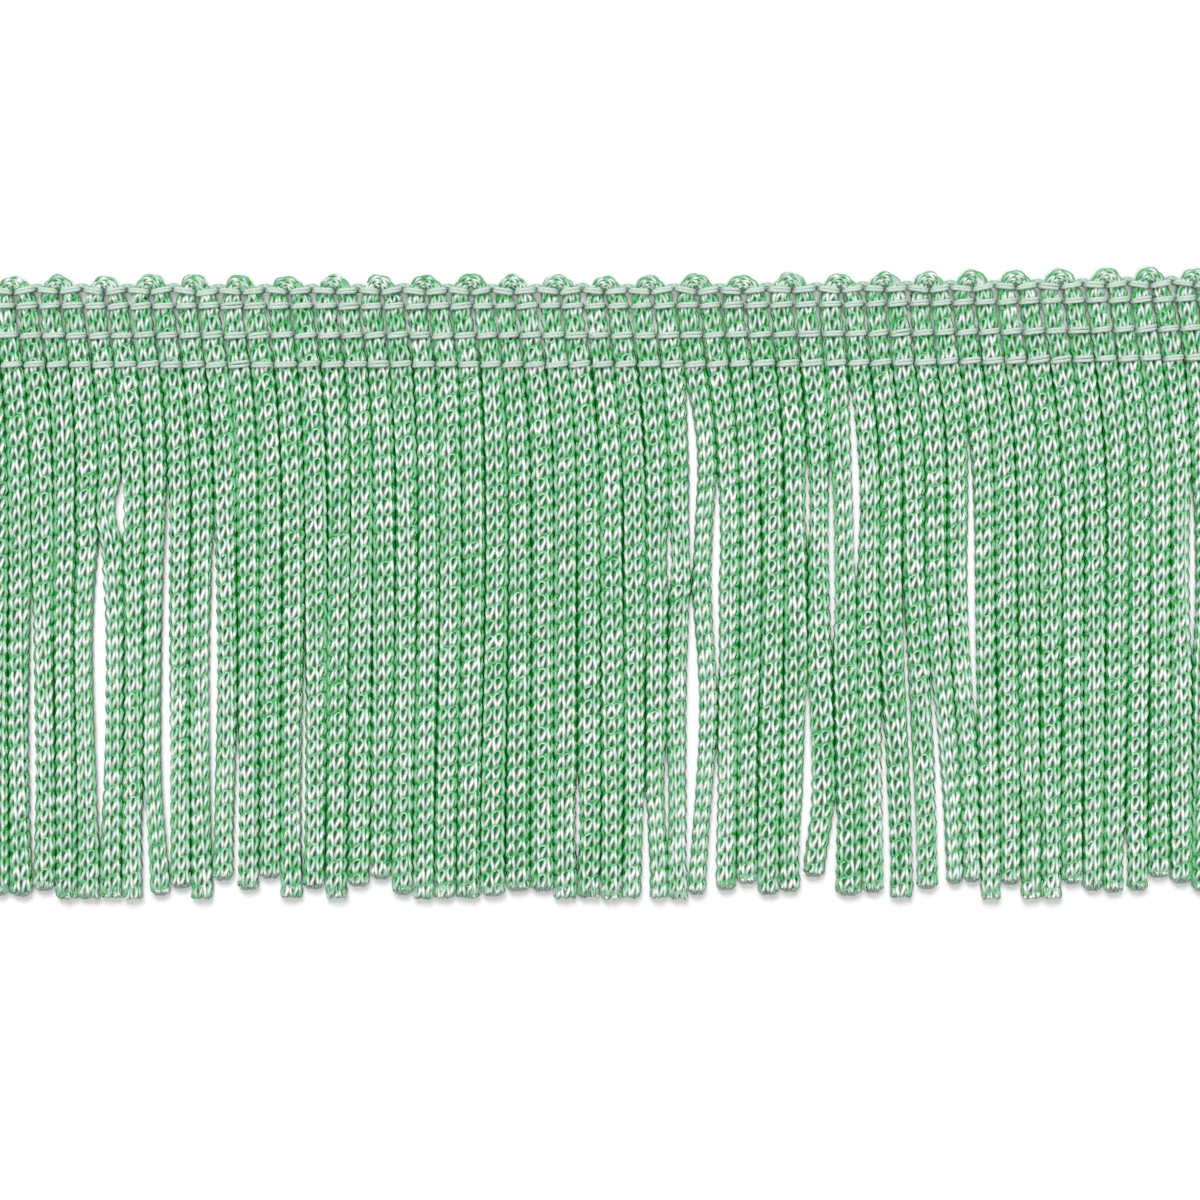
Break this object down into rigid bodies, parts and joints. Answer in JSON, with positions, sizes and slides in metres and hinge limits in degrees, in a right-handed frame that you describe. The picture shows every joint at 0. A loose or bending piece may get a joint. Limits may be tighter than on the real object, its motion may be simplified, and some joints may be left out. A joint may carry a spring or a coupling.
{
  "type": "chainette fringe trim",
  "caption": "Flat cut length of chainette fringe: knitted cord laid in hairpins that loop over at the top edge, bound by rows of chain stitch and cut along the bottom.",
  "frame": {"origin": "middle of the heading's flat back, halfway along the trim and halfway up the heading between the lowest and highest stitch rows", "axes": "+X along the trim, +Y across it from the fringe towards the looped edge, +Z out of the trim's face; the strands hang towards -Y"},
  "size_m": [0.105, 0.0514, 0.0021],
  "materials": {
    "cord": "lustrous knitted rayon cord, pale mint green",
    "heading_thread": "matte spun two-ply thread, pale mint green"
  },
  "bodies": {
    "root": {"fringe": "cord", "chain_row_1": "heading_thread", "chain_row_2": "heading_thread", "chain_row_3": "heading_thread", "chain_row_4": "heading_thread"}
  },
  "joints": []
}
